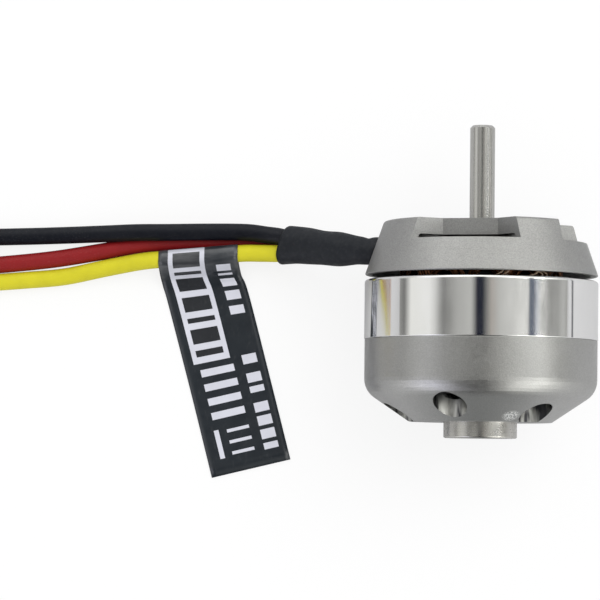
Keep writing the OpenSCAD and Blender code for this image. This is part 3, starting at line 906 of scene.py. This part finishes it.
NEAR_BANDS = [
    (-150, 0.5), (-95, 0.6), (-75, 0.75), (-57, (1.15, 1.15, 1.25)), (-38, 0.75), (-18, 0.58), (-10, 0.5),
    (-7, 0.03), (-1, 0.03), (3, 0.6), (15, 0.8), (30, 1.8), (43, 3.6), (46, 0.8), (51, 0.9), (54, 7.2),
    (60, 7.2), (66, 2.4), (80, 1), (97, 1), (150, 0.7),
]
TIP_BANDS = [
    (-150, 0.05), (-100, 0.3), (-72, 1.35), (-48, 2.2), (-10, 1.5), (25, 1.5), (50, 1.3), (75, 0.75),
    (110, 0.55), (150, 0.4),
]
END_BANDS = [
    (-150, 1), (-95, 1.5), (-75, (1.5, 1.5, 1.6)), (-58, (1.8, 1.8, 2.1)), (-38, 0.5), (-18, 0.02),
    (5, 0.01), (20, 0.3), (36, 1.4), (52, 2.8), (70, 1.5), (90, 1.5), (140, 1.2),
]
STRAIGHT_AHEAD = [(-90, 0.12), (90, 0.12)]


def make_world():
    """Reflections see the bands, and everything else is lit by an even white."""
    world = bpy.data.worlds.new("studio")
    world.use_nodes = True
    world.cycles.sampling_method = "NONE"
    bpy.context.scene.world = world
    tree = world.node_tree
    tree.nodes.clear()
    link = tree.links.new

    def node(kind, **settings):
        n = tree.nodes.new(kind)
        for key, value in settings.items():
            setattr(n, key, value)
        return n

    def between(value, start, end):
        n = node("ShaderNodeMapRange", interpolation_type="SMOOTHSTEP")
        link(value, n.inputs["Value"])
        n.inputs["From Min"].default_value = start
        n.inputs["From Max"].default_value = end
        return n.outputs["Result"]

    def bands(share, table):
        ramp = node("ShaderNodeValToRGB")
        link(share, ramp.inputs["Fac"])
        stops = ramp.color_ramp.elements
        for i, (degrees, level) in enumerate(table):
            position = (degrees + 180) / 360
            stop = stops[i] if i < 2 else stops.new(position)
            stop.position = position
            stop.color = (*level, 1) if isinstance(level, tuple) else (level, level, level * 0.97, 1)
        return ramp.outputs["Color"]

    def mix(factor, a, b):
        n = node("ShaderNodeMix", data_type="RGBA")
        link(factor, n.inputs["Factor"])
        link(a, n.inputs["A"])
        link(b, n.inputs["B"])
        return n.outputs["Result"]

    axes = node("ShaderNodeSeparateXYZ")
    link(node("ShaderNodeTexCoord").outputs["Generated"], axes.inputs[0])
    turn = node("ShaderNodeMath", operation="ARCTAN2")
    link(axes.outputs["X"], turn.inputs[0])
    link(axes.outputs["Z"], turn.inputs[1])
    share = node("ShaderNodeMapRange")
    link(turn.outputs[0], share.inputs["Value"])
    share.inputs["From Min"].default_value = -math.pi
    share.inputs["From Max"].default_value = math.pi
    share = share.outputs["Result"]
    height = axes.outputs["Y"]
    colour = mix(between(height, 0.14, 0.26), bands(share, MIDDLE_BANDS), bands(share, NEAR_BANDS))
    colour = mix(between(height, -0.05, -0.17), colour, bands(share, NEAR_BANDS))
    colour = mix(between(height, 0.4, 0.55), colour, bands(share, TIP_BANDS))
    colour = mix(between(height, -0.2, -0.4), colour, bands(share, END_BANDS))
    colour = mix(between(height, -0.82, -0.96), colour, bands(share, STRAIGHT_AHEAD))
    path = node("ShaderNodeLightPath")
    glossy = node("ShaderNodeBackground")
    link(colour, glossy.inputs["Color"])
    plain = node("ShaderNodeBackground")
    plain.inputs["Color"].default_value = (1, 1, 1, 1)
    plain.inputs["Strength"].default_value = 0.95
    mixed = node("ShaderNodeMixShader")
    link(path.outputs["Is Glossy Ray"], mixed.inputs[0])
    link(plain.outputs[0], mixed.inputs[1])
    link(glossy.outputs[0], mixed.inputs[2])
    link(mixed.outputs[0], node("ShaderNodeOutputWorld").inputs["Surface"])


def make_light():
    """A large soft light that metal doesn't mirror."""
    data = bpy.data.lights.new("soft_key", "AREA")
    data.shape = "RECTANGLE"
    data.size = data.size_y = 400 * MM
    data.energy = 1.5
    light = bpy.data.objects.new("soft_key", data)
    bpy.context.scene.collection.objects.link(light)
    light.location = Vector((250, 200, 500)) * MM
    aim = Vector((-20, -10, 0)) * MM
    light.rotation_euler = (aim - light.location).to_track_quat("-Z", "Y").to_euler()
    light.visible_glossy = False


# ---- Everything together ----


def dress(material, *nodes):
    """Gives CAD nodes that stay visible their material."""
    for name in nodes:
        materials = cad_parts[name].data.materials
        materials.clear()
        materials.append(material)


def make_label():
    """The label and its print: plain bars and blocks, in place of any text or marks."""
    tag, left, right = make_tag(vinyl("black_vinyl", (0.01, 0.0145, 0.02), 0.34))
    edges = left, right
    white = vinyl("white_print", (0.62, 0.63, 0.7), 0.4)
    black = vinyl("black_print", (0.012, 0.014, 0.018), 0.4)
    panel = make_print("print_panel", [(0.5, 16.2, 0.12, 0.58)], edges, white, 0.03 * MM)
    dark = [(1.2, 3.2), (4, 4.6), (5.4, 7.2), (8, 9.8), (10.6, 11.2), (12, 13.8), (14.6, 15.4)]
    on_panel = [(a, b, 0.18, 0.52) for a, b in dark]
    dark_bars = make_print("print_dark_bars", on_panel, edges, black, 0.05 * MM)
    column = [
        (3.2, 4.4), (5, 5.4), (6, 7.2), (7.8, 9), (9.8, 10.9), (16.2, 17.4), (18.6, 19.8), (20.3, 21.1),
        (22.4, 23.6), (24.1, 25.3), (25.8, 27), (27.5, 28.3),
    ]
    light = [(a, b, 0.72, 0.9) for a, b in column]
    light += [(a, a + 0.9, 0.18, 0.6) for a in (17, 18.8, 20.6, 22.4)]
    light += [(24.6, 28.2, 0.16, 0.22)]
    light += [(a, a + 0.4, 0.32, 0.6) for a in (24.8, 26.2, 27.6)]
    light_bars = make_print("print_white_bars", light, edges, white, 0.03 * MM)
    return [tag, panel, dark_bars, light_bars]


def make_cords(silicones, shrinks, gold):
    on_lead = {"black": [make_sleeve(shrinks["black"])], "red": [], "yellow": make_label()}
    for name in ROUTES:
        lead, line = make_lead(name, silicones[name])
        plug = make_plug(name, gold)
        plug_sleeve = make_plug_sleeve(name, shrinks[name])


def make_all():
    make_camera()
    shrinks = {
        "black": heat_shrink("shrink_black", (0.006, 0.008, 0.012)),
        "red": heat_shrink("shrink_red", (0.42, 0.03, 0.03)),
        "yellow": heat_shrink("shrink_yellow", (0.75, 0.6, 0.04)),
    }
    silicones = {
        "black": silicone("silicone_black", (0.003, 0.004, 0.008)),
        "red": silicone("silicone_red", (0.24, 0.01, 0.012)),
        "yellow": silicone("silicone_yellow", (0.6, 0.55, 0.02)),
    }
    gold = plain_metal("gold_plate", (0.9, 0.62, 0.26), 0.2)
    make_cords(silicones, shrinks, gold)

    copper = enamelled_copper()
    make_windings(copper)
    make_loose_strands(bright_copper())
    make_tails(copper)

    dress(mount_metal(), "mount_flange")
    dress(bell_metal(), "bell")
    dress(chrome(), "flux_ring")
    dress(ground_steel(), "shaft")
    dress(turned_metal("turned_bush", (0.53, 0.52, 0.49), 0.27, 0.09 * MM), "hub_bush")
    dress(turned_metal("turned_brass", (0.7, 0.5, 0.22), 0.3, 0.1 * MM), "rear_spacer")
    steel = plain_metal("bearing_steel", (0.6, 0.6, 0.61), 0.18)
    dress(
        steel, "front_bearing_outer_race", "front_bearing_inner_race", "front_bearing_balls",
        "rear_bearing_outer_race", "rear_bearing_inner_race", "rear_bearing_balls",
    )
    dress(
        turned_metal("pressed_shield", (0.45, 0.45, 0.46), 0.3, 0.15 * MM),
        "front_bearing_shields", "rear_bearing_shields", "front_washer",
    )
    dress(plain_metal("cage_brass", (0.7, 0.5, 0.22), 0.25), "front_bearing_cage", "rear_bearing_cage")
    dress(plain_metal("black_spring_steel", (0.05, 0.05, 0.055), 0.35), "shaft_clip")
    dress(plain_metal("nickel_magnet", (0.42, 0.42, 0.43), 0.28), "magnets_north", "magnets_south")
    dress(laminated_steel(), "stator_stack")
    # Painted shade: the slot insulators are coloured near black, as dark as the shade inside the stator.
    dress(
        moulded_plastic("insulator_painted_shade", (0.012, 0.016, 0.018), 0.5),
        "slot_insulator_front", "slot_insulator_rear",
    )

    make_floor()
    make_world()
    make_light()
    view = bpy.context.scene.view_settings
    view.view_transform = "Standard"
    view.look = "None"


make_all()
